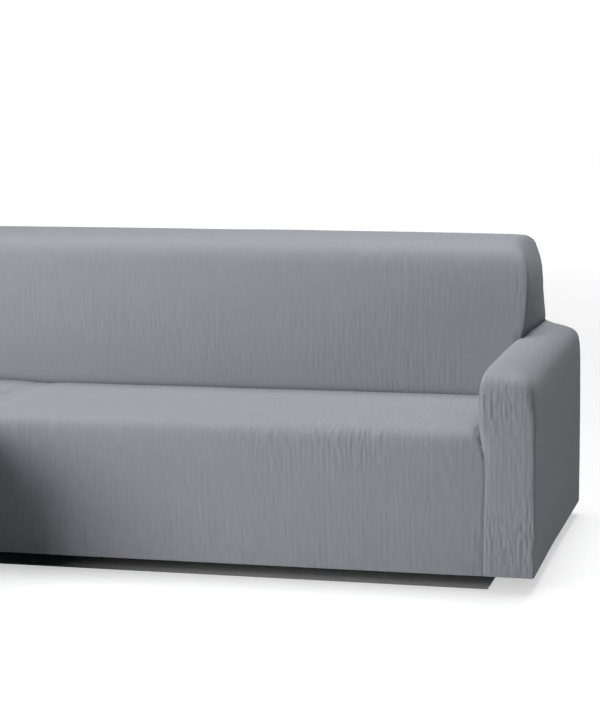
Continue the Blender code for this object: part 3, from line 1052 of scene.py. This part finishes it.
class Sheet:
    """One panel as a closed sheet of cloth."""

    FINE = 4
    THICKNESS = 0.0018
    SIDE_TURN = (0.30, 0.95)
    SHARP_ANGLE = 1.0

    def __init__(self, cage: Cage, panel: Panel, counts: dict[EdgeKey, int]) -> None:
        """Weld the panel's patches into one outer face, one inner face and a rim.

        Args:
            cage: The smoothed cage.
            panel: The panel to cut.
            counts: Coarse intervals for each cage edge.
        """
        self.panel = panel
        self.counts = counts
        self.known: dict[tuple, int] = {}
        self.places: list[np.ndarray] = []
        self.normals: list[np.ndarray] = []
        self.total = 0
        self.quads: list[np.ndarray] = []
        self.fans: list[np.ndarray] = []
        self.inner: list[np.ndarray] = []
        self.runs: dict[EdgeKey, list[list[int]]] = {}
        patches = [patch for patch in cage.patches if patch.panel == panel]
        self.open_edges = self.find_open_edges(patches)
        for patch in patches:
            self.add(patch)
        self.base = np.concatenate(self.places)
        self.facing = np.concatenate(self.normals)
        self.facing /= np.linalg.norm(self.facing, axis=1)[:, None]
        self.rim = [runs[0] for runs in self.runs.values() if len(runs) == 1]

    @staticmethod
    def find_open_edges(patches: list[Patch]) -> set[EdgeKey]:
        """Find the cage edges along which some patch has only its coarse lines.

        Args:
            patches: The panel's patches.

        Returns:
            Those edges.
        """
        found = set()
        for patch in patches:
            if patch.grain is Grain.ACROSS:
                for ids in ([row[0] for row in patch.ids], [row[-1] for row in patch.ids]):
                    found.update(edge_key(a, b) for a, b in zip(ids, ids[1:]))
        return found

    def spots(self, ids: list[int], fine: int) -> np.ndarray:
        """Space the sampled lines along one side of a patch.

        Args:
            ids: The side's cage points.
            fine: Lines in each coarse interval.

        Returns:
            The lines' places, in cage intervals.
        """
        parts = [self.counts[edge_key(a, b)] * fine for a, b in zip(ids, ids[1:])]
        lines = [number + np.arange(count) / count for number, count in enumerate(parts)]
        return np.concatenate(lines + [np.array([len(ids) - 1.0])])

    def keys(self, ids: list[int], fine: int) -> list[tuple]:
        """Name each sampled point along a side, alike for every patch that shares it.

        Args:
            ids: The side's cage points.
            fine: Lines in each coarse interval.

        Returns:
            One name for each point.
        """
        names: list[tuple] = []
        for a, b in zip(ids, ids[1:]):
            parts = self.counts[edge_key(a, b)] * self.FINE
            names.append((a,))
            for part in range(self.FINE // fine, parts, self.FINE // fine):
                names.append((*edge_key(a, b), part if a < b else parts - part))
        return names + [(ids[-1],)]

    def add(self, patch: Patch) -> None:
        """Sample one patch and add its faces.

        Args:
            patch: The patch.
        """
        fine_rows = patch.grain.value
        left, right = [row[0] for row in patch.ids], [row[-1] for row in patch.ids]
        low, high = patch.ids[0], patch.ids[-1]
        fraction = (patch.places.shape[0] - 1) // (len(patch.ids) - 1)
        rows = self.spots(left, fine_rows) * fraction
        columns = self.spots(low, self.FINE) * fraction
        numbers = self.total + np.arange(len(rows) * len(columns)).reshape(len(rows), len(columns))
        self.total += numbers.size
        self.places.append(sample(patch.places, rows, columns).reshape(-1, 3))
        self.normals.append(sample(patch.normals, rows, columns).reshape(-1, 3))
        sides = (
            (low, np.s_[0, :], self.FINE),
            (high, np.s_[-1, :], self.FINE),
            (left, np.s_[:, 0], fine_rows),
            (right, np.s_[:, -1], fine_rows),
        )
        for ids, spot, fine in sides:
            line = numbers[spot]
            for place, name in enumerate(self.keys(ids, fine)):
                line[place] = self.known.setdefault(name, int(line[place]))
        skipped = [patch.grain is Grain.ACROSS and self.is_open(ids) for ids in (low, high)]
        inside = numbers[1 if skipped[0] else 0 : -1 if skipped[1] else None]
        self.quads.append(quads_of(inside))
        if skipped[0]:
            self.fans.append(self.fan(numbers[0], numbers[1]))
        if skipped[1]:
            self.fans.append(self.fan(numbers[-1], numbers[-2])[:, ::-1])
        coarse = numbers[::fine_rows, :: self.FINE]
        self.inner.append(quads_of(coarse)[:, ::-1])
        for number, (ids, spot, fine) in enumerate(sides):
            line = numbers[spot]
            step = fine if number > 1 or not skipped[number] else 1
            thin = line if number > 1 or not skipped[number] else line[:: self.FINE]
            for start in range(0, len(thin) - 1, step):
                run = [int(index) for index in thin[start : start + step + 1]]
                self.runs.setdefault(edge_key(run[0], run[-1]), []).append(run)

    def is_open(self, ids: list[int]) -> bool:
        """Tell whether a side meets a patch of the same panel that has only coarse lines there."""
        return any(edge_key(a, b) in self.open_edges for a, b in zip(ids, ids[1:]))

    def fan(self, coarse: np.ndarray, fine: np.ndarray) -> np.ndarray:
        """Join a line's coarse points to a line's fine ones.

        Args:
            coarse: The line whose points between the coarse ones are left out.
            fine: The line beside it.

        Returns:
            Triangles as rows of vertex numbers.
        """
        last = len(fine) - self.FINE
        a, b = coarse[: -1 : self.FINE], coarse[self.FINE :: self.FINE]
        p, q, r, s, t = (fine[part : last + part : self.FINE] for part in range(self.FINE + 1))
        parts = [(a, q, p), (a, r, q), (a, b, r), (b, s, r), (b, t, s)]
        return np.concatenate([np.column_stack(part) for part in parts])

    def shape(self, ribs: RibRelief, edges: EdgeRelief, cut: Cut) -> tuple[np.ndarray, ...]:
        """Give the sheet its relief.

        Args:
            ribs: The knit's ribs.
            edges: The way it sinks at its borders.
            cut: The panel's own values.

        Returns:
            Outer places, inner places, flat coordinates, and the weight of the shade painted into
            the ribs' valleys.
        """
        places, normals = self.base, self.facing
        side = smoothstep(*self.SIDE_TURN, np.abs(normals[:, 0]))
        reach = places[:, 1] - places[:, 1].min()
        across = places[:, 0] + np.sign(normals[:, 0]) * side * reach
        along = np.column_stack([reach * (1.0 - side), places[:, 2]])
        fine, swell, rib_shade_mask = ribs.relief(across, along, places, normals)
        sink, near = self.borders(edges, cut.seam_top)
        relief = (fine * cut.ribs + swell) * (1.0 - edges.calming * near)
        # The painted valley shade is as strong as the panel's ribs.
        rib_shade_mask = 0.5 + (rib_shade_mask - 0.5) * cut.ribs
        for crease in cut.creases:
            relief += crease.relief(places)
        base = places - normals * sink[:, None]
        outer = base + normals * relief[:, None]
        inner = base - normals * self.THICKNESS
        top = places[:, 2].max()
        height = np.where(normals[:, 1] > 0.0, 2.0 * top - places[:, 2], places[:, 2])
        flat = np.column_stack([across, height + (1.0 - side) * reach])
        return outer, inner, flat, rib_shade_mask

    def borders(self, edges: EdgeRelief, seam_top: float) -> tuple[np.ndarray, np.ndarray]:
        """Sink the sheet towards its nearest seam or tuck.

        Args:
            edges: The way it sinks at its borders.
            seam_top: Height above which a flat seam leaves no groove.

        Returns:
            How far each place sinks, and how near it is to a border, from 0 to 1.
        """
        interior: dict[int, list[int]] = {}
        coarse = np.concatenate(self.inner)
        for a, b, c, d in coarse:
            for one, other in ((a, c), (b, d), (c, a), (d, b)):
                interior.setdefault(int(one), []).append(int(other))
        found: dict[int, float] = {}
        for run in self.rim:
            if max(self.base[run[0], 2], self.base[run[-1], 2]) < edges.hem_height:
                continue
            folds = []
            for end in (run[0], run[-1]):
                steps = self.base[interior[end]] - self.base[end]
                steps /= np.linalg.norm(steps, axis=1)[:, None]
                folds.append(float(max(0.0, (steps @ self.facing[end]).mean())))
            for number, index in enumerate(run):
                share = number / (len(run) - 1)
                found[index] = folds[0] * (1.0 - share) + folds[1] * share
        tree = KDTree(len(found))
        names = list(found)
        for number, index in enumerate(names):
            tree.insert(self.base[index], number)
        tree.balance()
        nearest = [tree.find(place) for place in self.base.tolist()]
        fold = np.array([found[names[number]] for _, number, _ in nearest])
        away = np.array([distance for _, _, distance in nearest])
        return edges.sink(fold, away, self.base[:, 2], seam_top)

    def make(
        self, cut: Cut, ribs: RibRelief, edges: EdgeRelief, material: bpy.types.Material
    ) -> bpy.types.Object:
        """Build the sheet as a mesh object.

        Args:
            cut: The panel's flat size and creases.
            ribs: The knit's ribs.
            edges: The way it sinks at its borders.
            material: The finish.

        Returns:
            The new piece.
        """
        outer, inner, flat, rib_shade_mask = self.shape(ribs, edges, cut)
        back = len(outer)
        rim = [run + [run[-1] + back, run[0] + back] for run in self.rim]
        blocks = [np.concatenate(self.quads), np.concatenate(self.fans or [np.zeros((0, 3), int)])]
        blocks += [np.concatenate(self.inner) + back]
        corners = [block.ravel() for block in blocks] + [np.array(face) for face in rim]
        used = np.unique(np.concatenate(corners))
        order = np.full(2 * back, -1)
        order[used] = np.arange(len(used))
        faces = [face for block in blocks for face in order[block].tolist()]
        faces += [order[face].tolist() for face in rim]
        mesh = bpy.data.meshes.new(self.panel.value)
        mesh.from_pydata(np.concatenate([outer, inner])[used].tolist(), [], faces)
        bm = bmesh.new()
        bm.from_mesh(mesh)
        bmesh.ops.recalc_face_normals(bm, faces=bm.faces)
        bm.to_mesh(mesh)
        bm.free()
        loops = read(mesh.loops, "vertex_index", 1, np.int32).ravel()
        spread = np.concatenate([flat, flat])[used][loops]
        layer = mesh.uv_layers.new(name="cloth")
        layer.data.foreach_set("uv", spread.astype(np.float32).ravel())
        # The "ridge" attribute carries the weight of the shade painted into the ribs' valleys.
        ridge = mesh.attributes.new("ridge", "FLOAT", "POINT")
        ridge.data.foreach_set("value", np.concatenate([rib_shade_mask, rib_shade_mask])[used].astype(np.float32))
        mesh.shade_smooth()
        mesh.set_sharp_from_angle(angle=self.SHARP_ANGLE)
        mesh.materials.append(material)
        return add_object(self.panel.value + "_cloth", mesh)


class Net:
    """Short ways to add and join nodes in one tree."""

    def __init__(self, tree: bpy.types.NodeTree) -> None:
        """Keep the tree."""
        self.tree = tree

    def add(self, kind: str, **links: bpy.types.NodeSocket) -> bpy.types.Node:
        """Add a node.

        Args:
            kind: Blender's name for the node.
            links: Outputs of other nodes, by the input that each one feeds.

        Returns:
            The new node.
        """
        node = self.tree.nodes.new(kind)
        for name, socket in links.items():
            self.link(socket, node.inputs[name])
        return node

    def link(self, start: bpy.types.NodeSocket, end: bpy.types.NodeSocket) -> None:
        """Join two sockets."""
        self.tree.links.new(start, end)

    def maths(self, operation: str, *values: bpy.types.NodeSocket | float) -> bpy.types.NodeSocket:
        """Add a maths node.

        Args:
            operation: Blender's name for the operation.
            values: Its inputs, as sockets or plain numbers.

        Returns:
            The result.
        """
        node = self.tree.nodes.new("ShaderNodeMath")
        node.operation = operation
        for socket, value in zip(node.inputs, values):
            if isinstance(value, (int, float)):
                socket.default_value = value
            else:
                self.link(value, socket)
        return node.outputs[0]


@dataclass(frozen=True)
class KnitFinish:
    """Matt grey-blue ribbed knit, with fine stitches, a faint melange, and shade painted into the
    ribs' valleys.
    """

    name: str = "rib_knit"
    colour: tuple[float, float, float, float] = (0.266, 0.280, 0.307, 1.0)
    # Share of the colour left in the ribs' valleys, as painted shade.
    painted_valley_shade: float = 0.86
    roughness: float = 0.92
    sheen: float = 0.10
    sheen_roughness: float = 0.5
    specular: float = 0.2
    stitch_width: float = 0.0016
    stitch_length: float = 0.0013
    stitch_bump: float = 0.35
    stitch_depth: float = 0.0003
    loop_height: float = 0.25
    groove_height: float = 0.5
    yarn_height: float = 0.5
    yarn_scale: float = 420.0
    yarn_detail: float = 3.0
    yarn_share: float = 0.6
    cloud_scale: float = 9.0
    cloud_detail: float = 2.0
    cloud_share: float = 0.4
    melange_gain: float = 0.5
    rib_shade_gain: float = 0.6

    def stitch_group(self) -> bpy.types.NodeTree:
        """Build the shared group that draws small interlocked stitches and uneven yarn.

        Returns:
            The group, which puts out the stitches' height and the yarn's melange.
        """
        group = bpy.data.node_groups.new("knit_stitches", "ShaderNodeTree")
        face = group.interface
        face.new_socket("Cloth", in_out="INPUT", socket_type="NodeSocketVector")
        sizes = (("Stitch Width", self.stitch_width), ("Stitch Length", self.stitch_length))
        for label, value in sizes:
            socket = face.new_socket(label, in_out="INPUT", socket_type="NodeSocketFloat")
            socket.default_value = value
        face.new_socket("Height", in_out="OUTPUT", socket_type="NodeSocketFloat")
        face.new_socket("Melange", in_out="OUTPUT", socket_type="NodeSocketFloat")
        net = Net(group)
        inputs = net.add("NodeGroupInput")
        outputs = net.add("NodeGroupOutput")
        split = net.add("ShaderNodeSeparateXYZ", Vector=inputs.outputs["Cloth"])
        across = net.maths("DIVIDE", split.outputs["X"], inputs.outputs["Stitch Width"])
        along = net.maths("DIVIDE", split.outputs["Y"], inputs.outputs["Stitch Length"])
        leg = net.maths("ABSOLUTE", net.maths("SUBTRACT", net.maths("FRACT", across), 0.5))
        slanted = net.maths("ADD", along, leg)
        loop = net.maths("SINE", net.maths("MULTIPLY", slanted, 2.0 * math.pi))
        groove = net.maths("SINE", net.maths("MULTIPLY", leg, 2.0 * math.pi))
        groove = net.maths("MULTIPLY", groove, self.groove_height)
        height = net.maths("MULTIPLY_ADD", loop, self.loop_height, groove)
        noises = []
        for scale, detail in (
            (self.yarn_scale, self.yarn_detail),
            (self.cloud_scale, self.cloud_detail),
        ):
            noise = net.add("ShaderNodeTexNoise", Vector=inputs.outputs["Cloth"])
            noise.inputs["Scale"].default_value = scale
            noise.inputs["Detail"].default_value = detail
            noises.append(noise.outputs["Fac"])
        yarn, clouds = noises
        clouds = net.maths("MULTIPLY", clouds, self.cloud_share)
        melange = net.maths("MULTIPLY_ADD", yarn, self.yarn_share, clouds)
        height = net.maths("ADD", height, net.maths("MULTIPLY", yarn, self.yarn_height))
        net.link(height, outputs.inputs["Height"])
        net.link(melange, outputs.inputs["Melange"])
        return group

    def build(self) -> bpy.types.Material:
        """Build the knit's material.

        Returns:
            The material.
        """
        material = bpy.data.materials.new(self.name)
        material.use_nodes = True
        net = Net(material.node_tree)
        shader = material.node_tree.nodes["Principled BSDF"]
        shader.inputs["Roughness"].default_value = self.roughness
        shader.inputs["Sheen Weight"].default_value = self.sheen
        shader.inputs["Sheen Roughness"].default_value = self.sheen_roughness
        shader.inputs["Specular IOR Level"].default_value = self.specular
        cloth = net.add("ShaderNodeUVMap")
        cloth.uv_map = "cloth"
        stitches = net.add("ShaderNodeGroup")
        stitches.node_tree = self.stitch_group()
        stitches.inputs["Stitch Width"].default_value = self.stitch_width
        stitches.inputs["Stitch Length"].default_value = self.stitch_length
        net.link(cloth.outputs["UV"], stitches.inputs["Cloth"])
        # The mix runs from the darker valley colour to the full colour: the melange is the yarn's
        # own tone, and the ridge attribute adds shade painted into the ribs' valleys.
        ridge = net.add("ShaderNodeAttribute")
        ridge.attribute_name = "ridge"
        shade = net.add("ShaderNodeMix")
        shade.data_type = "RGBA"
        valley_shade_colour = tuple(self.painted_valley_shade * value for value in self.colour[:3])
        shade.inputs["A"].default_value = valley_shade_colour + (1.0,)
        shade.inputs["B"].default_value = self.colour
        rib_shade = net.maths("MULTIPLY", ridge.outputs["Fac"], self.rib_shade_gain)
        amount = net.maths("MULTIPLY_ADD", stitches.outputs["Melange"], self.melange_gain, rib_shade)
        net.link(amount, shade.inputs["Factor"])
        net.link(shade.outputs["Result"], shader.inputs["Base Color"])
        bump = net.add("ShaderNodeBump")
        bump.inputs["Strength"].default_value = self.stitch_bump
        bump.inputs["Distance"].default_value = self.stitch_depth
        net.link(stitches.outputs["Height"], bump.inputs["Height"])
        net.link(bump.outputs["Normal"], shader.inputs["Normal"])
        return material


@dataclass(frozen=True)
class Lamp:
    """One soft square light that looks at the middle of the object."""

    name: str
    turn: float
    rise: float
    power: float
    distance: float = 6.0
    size: float = 3.0

    def build(self, aim: Vector) -> None:
        """Add the light, turned round the object from the main front by its angles in degrees.

        Args:
            aim: The place that it looks at.
        """
        turn, rise = math.radians(self.turn), math.radians(self.rise)
        level = math.cos(rise)
        away = Vector((math.sin(turn) * level, -math.cos(turn) * level, math.sin(rise)))
        data = bpy.data.lights.new(self.name, "AREA")
        data.size = self.size
        data.energy = self.power
        lamp = add_object(self.name, data)
        lamp.location = aim + away * self.distance
        lamp.rotation_euler = away.to_track_quat("Z", "Y").to_euler()


@dataclass(frozen=True)
class Studio:
    """Pale sweep, soft lights and the camera."""

    floor_height: float = -0.045
    shade_lift: float = 0.002
    shade_side: float = 0.130
    shade_margin: float = 0.030
    floor_front: float = -16.0
    floor_side: float = 16.0
    bend_start: float = 15.0
    bend_radius: float = 4.0
    wall_top: float = 14.0
    bend_first: float = 0.1
    bend_steps: int = 12
    floor_colour: float = 0.51
    floor_roughness: float = 0.95
    floor_glow: float = 0.54
    wall_glow: float = 0.98
    glow_start: float = 2.0
    glow_end: float = 9.0
    aim: Point = (0.0, 0.0, 0.35)
    camera_place: Point = (2.255, -6.211, 1.646)
    yaw: float = 14.73
    pitch: float = 9.64
    roll: float = -0.91
    lens: float = 113.6
    far_limit: float = 200.0
    lamps: tuple[Lamp, ...] = (
        Lamp("key", -35.0, 15.0, 360.0),
        Lamp("left_fill", -75.0, 15.0, 139.0),
        Lamp("right_high", 90.0, 45.0, 34.0),
        Lamp("overhead", 124.7, 71.9, 238.0, distance=5.1, size=2.5),
    )

    def camera(self) -> None:
        """Place the camera."""
        yaw, pitch, roll = (math.radians(angle) for angle in (self.yaw, self.pitch, self.roll))
        flat = math.cos(pitch)
        forward = Vector((-math.sin(yaw) * flat, math.cos(yaw) * flat, -math.sin(pitch)))
        level = Vector((math.cos(yaw), math.sin(yaw), 0.0))
        right = level * math.cos(roll) + level.cross(forward) * math.sin(roll)
        turned = Matrix((right, right.cross(forward), -forward)).transposed().to_4x4()
        data = bpy.data.cameras.new("camera")
        data.lens = self.lens
        data.clip_end = self.far_limit
        camera = add_object("camera", data)
        camera.matrix_world = Matrix.Translation(self.camera_place) @ turned
        bpy.context.scene.camera = camera

    def floor_finish(self, glowing: bool) -> bpy.types.Material:
        """Build the floor's matt white.

        Args:
            glowing: True where it looks brighter than the light it gives back, more so far away.

        Returns:
            The material.
        """
        material = bpy.data.materials.new("pale_floor")
        material.use_nodes = True
        shader = material.node_tree.nodes["Principled BSDF"]
        shader.inputs["Base Color"].default_value = (self.floor_colour,) * 3 + (1.0,)
        shader.inputs["Roughness"].default_value = self.floor_roughness
        shader.inputs["Specular IOR Level"].default_value = 0.0
        if glowing:
            shader.inputs["Emission Color"].default_value = (1.0, 1.0, 1.0, 1.0)
            net = Net(material.node_tree)
            place = net.add("ShaderNodeNewGeometry")
            away = net.add("ShaderNodeVectorMath", Vector=place.outputs["Position"])
            away.operation = "LENGTH"
            ramp = net.add("ShaderNodeMapRange", Value=away.outputs["Value"])
            ramp.interpolation_type = "SMOOTHSTEP"
            values = (self.glow_start, self.glow_end, self.floor_glow, self.wall_glow)
            for label, value in zip(("From Min", "From Max", "To Min", "To Max"), values):
                ramp.inputs[label].default_value = value
            seen = net.add("ShaderNodeLightPath").outputs["Is Camera Ray"]
            glow = net.maths("MULTIPLY", seen, ramp.outputs["Result"])
            net.link(glow, shader.inputs["Emission Strength"])
        return material

    def lay_floor(
        self, name: str, verts: list[Point], faces: list[tuple[int, ...]], glowing: bool
    ) -> None:
        """Add a piece of the floor.

        Args:
            name: Its name.
            verts: Its points.
            faces: Its faces.
            glowing: True where it has the floor's glow.
        """
        mesh = bpy.data.meshes.new(name)
        mesh.from_pydata(verts, [], faces)
        if glowing:
            mesh.shade_smooth()
        mesh.materials.append(self.floor_finish(glowing))
        floor = add_object(name, mesh)

    def shade(self, block: Block) -> None:
        """Add the floor under the cover, which keeps only its own light.

        Args:
            block: The cover's outer sizes.
        """
        side, margin = self.shade_side, self.shade_margin
        start, end = block.chaise_crease + margin, block.left_end - margin
        pieces = (
            (side, block.width - side, margin, block.main_depth - margin),
            (start, end, margin - block.chaise_reach, margin),
        )
        verts = []
        for low, high, near, far in pieces:
            for inset, depth in ((low, near), (high, near), (high, far), (low, far)):
                verts.append(block.place((inset, depth, self.floor_height + self.shade_lift)))
        self.lay_floor("floor_below", verts, [(0, 3, 2, 1), (4, 7, 6, 5)], False)

    def sweep(self) -> None:
        """Add the pale floor, which curves up into a wall far behind."""
        radius = self.bend_radius
        profile = [(self.floor_front, 0.0), (self.bend_start, 0.0)]
        for turn in np.linspace(self.bend_first, math.pi / 2, self.bend_steps):
            run, rise = radius * math.sin(turn), radius * (1.0 - math.cos(turn))
            profile.append((self.bend_start + run, rise))
        profile.append((self.bend_start + radius, self.wall_top))
        side = self.floor_side
        verts = [(x, y, z + self.floor_height) for y, z in profile for x in (-side, side)]
        faces = [(2 * n, 2 * n + 1, 2 * n + 3, 2 * n + 2) for n in range(len(profile) - 1)]
        self.lay_floor("sweep", verts, faces, True)

    def build(self, block: Block) -> None:
        """Set up everything around the object.

        Args:
            block: The cover's outer sizes.
        """
        self.camera()
        self.sweep()
        self.shade(block)
        for lamp in self.lamps:
            lamp.build(Vector(self.aim))
        world = bpy.data.worlds.new("studio")
        world.use_nodes = True
        backdrop = world.node_tree.nodes["Background"]
        backdrop.inputs["Color"].default_value = (1.0, 1.0, 1.0, 1.0)
        net = Net(world.node_tree)
        seen = net.add("ShaderNodeLightPath").outputs["Is Camera Ray"]
        net.link(seen, backdrop.inputs["Strength"])
        bpy.context.scene.world = world
        bpy.context.scene.view_settings.view_transform = "Standard"


ON_DECK = (1.0, 1.0, 0.2)
ON_FRONT = (1.0, 0.2, 1.0)
DECK_CREASE = (
    Crease((-0.301, 0.440, 0.395), (-0.312, -0.180, 0.410), 0.0100, 0.0260, ON_DECK),
)
NOTCH = (
    Crease((1.149, -0.170, 0.478), (1.192, -0.179, 0.318), 0.0200, 0.0042, ON_FRONT),
    Crease((1.160, -0.176, 0.412), (1.105, -0.164, 0.424), 0.0022, 0.0060, ON_FRONT),
    Crease((1.166, -0.178, 0.396), (1.118, -0.177, 0.400), 0.0018, 0.0055, ON_FRONT),
    Crease((1.174, -0.179, 0.374), (1.135, -0.179, 0.368), 0.0015, 0.0055, ON_FRONT),
    Crease((1.158, -0.160, 0.428), (1.115, -0.140, 0.432), -0.0018, 0.0060, ON_FRONT),
)
ARM_CORNER = (
    Crease((1.318, -0.172, 0.535), (1.309, -0.179, 0.492), 0.0022, 0.0060),
    Crease((1.322, -0.150, 0.530), (1.322, -0.170, 0.500), 0.0014, 0.0050),
)
SEAT_SEAM_TOP = 0.40
ARM_SEAM_TOP = 0.50
CUTS = (
    Cut(Panel.MAIN_SEAT, 1.497, 1.016, 1.470, 0.85, SEAT_SEAM_TOP, DECK_CREASE + NOTCH),
    Cut(Panel.CHAISE_SEAT, 1.700, 1.636, 1.806, 0.65, SEAT_SEAM_TOP, DECK_CREASE),
    Cut(Panel.INSIDE_BACK, 3.160, 0.950, 2.186, 0.55),
    Cut(Panel.OUTSIDE_BACK, 2.636, 0.764, 1.936, 0.40),
    Cut(Panel.RIGHT_ARM, 0.360, 1.600, 0.334, 0.58, ARM_SEAM_TOP, NOTCH[:1] + ARM_CORNER),
    Cut(Panel.RIGHT_SIDE, 0.960, 0.530, 0.492, 0.22, ARM_SEAM_TOP),
    Cut(Panel.LEFT_ARM, 0.360, 1.600, 0.342, 0.58, ARM_SEAM_TOP),
    Cut(Panel.LEFT_SIDE, 0.960, 0.530, 0.492, 0.22, ARM_SEAM_TOP),
)


def main() -> None:
    """Build the studio, then cut, shape and dress every panel."""
    logging.basicConfig(level=logging.INFO)
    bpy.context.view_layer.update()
    block = Block()
    Studio().build(block)
    cage = Cage(block)
    seats, arms, back = Seats(block), Arms(block), Backrest(block)
    seats.lay(cage)
    back.lay(cage, arms)
    arms.lay(cage, seats, back, left=False)
    arms.lay(cage, seats, back, left=True)
    cage.smooth()
    counts = cage.counts(step=0.0144, close_step=0.0088, short=0.080)
    knit = KnitFinish().build()
    for cut in CUTS:
        piece = Sheet(cage, cut.panel, counts).make(cut, RibRelief(), EdgeRelief(), knit)
        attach(piece, BODY)
        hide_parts(cut.panel.value)
        triangles = sum(len(face.vertices) - 2 for face in piece.data.polygons)
        LOG.info("%s: %d triangles", piece.name, triangles)


if __name__ == "__main__":
    main()
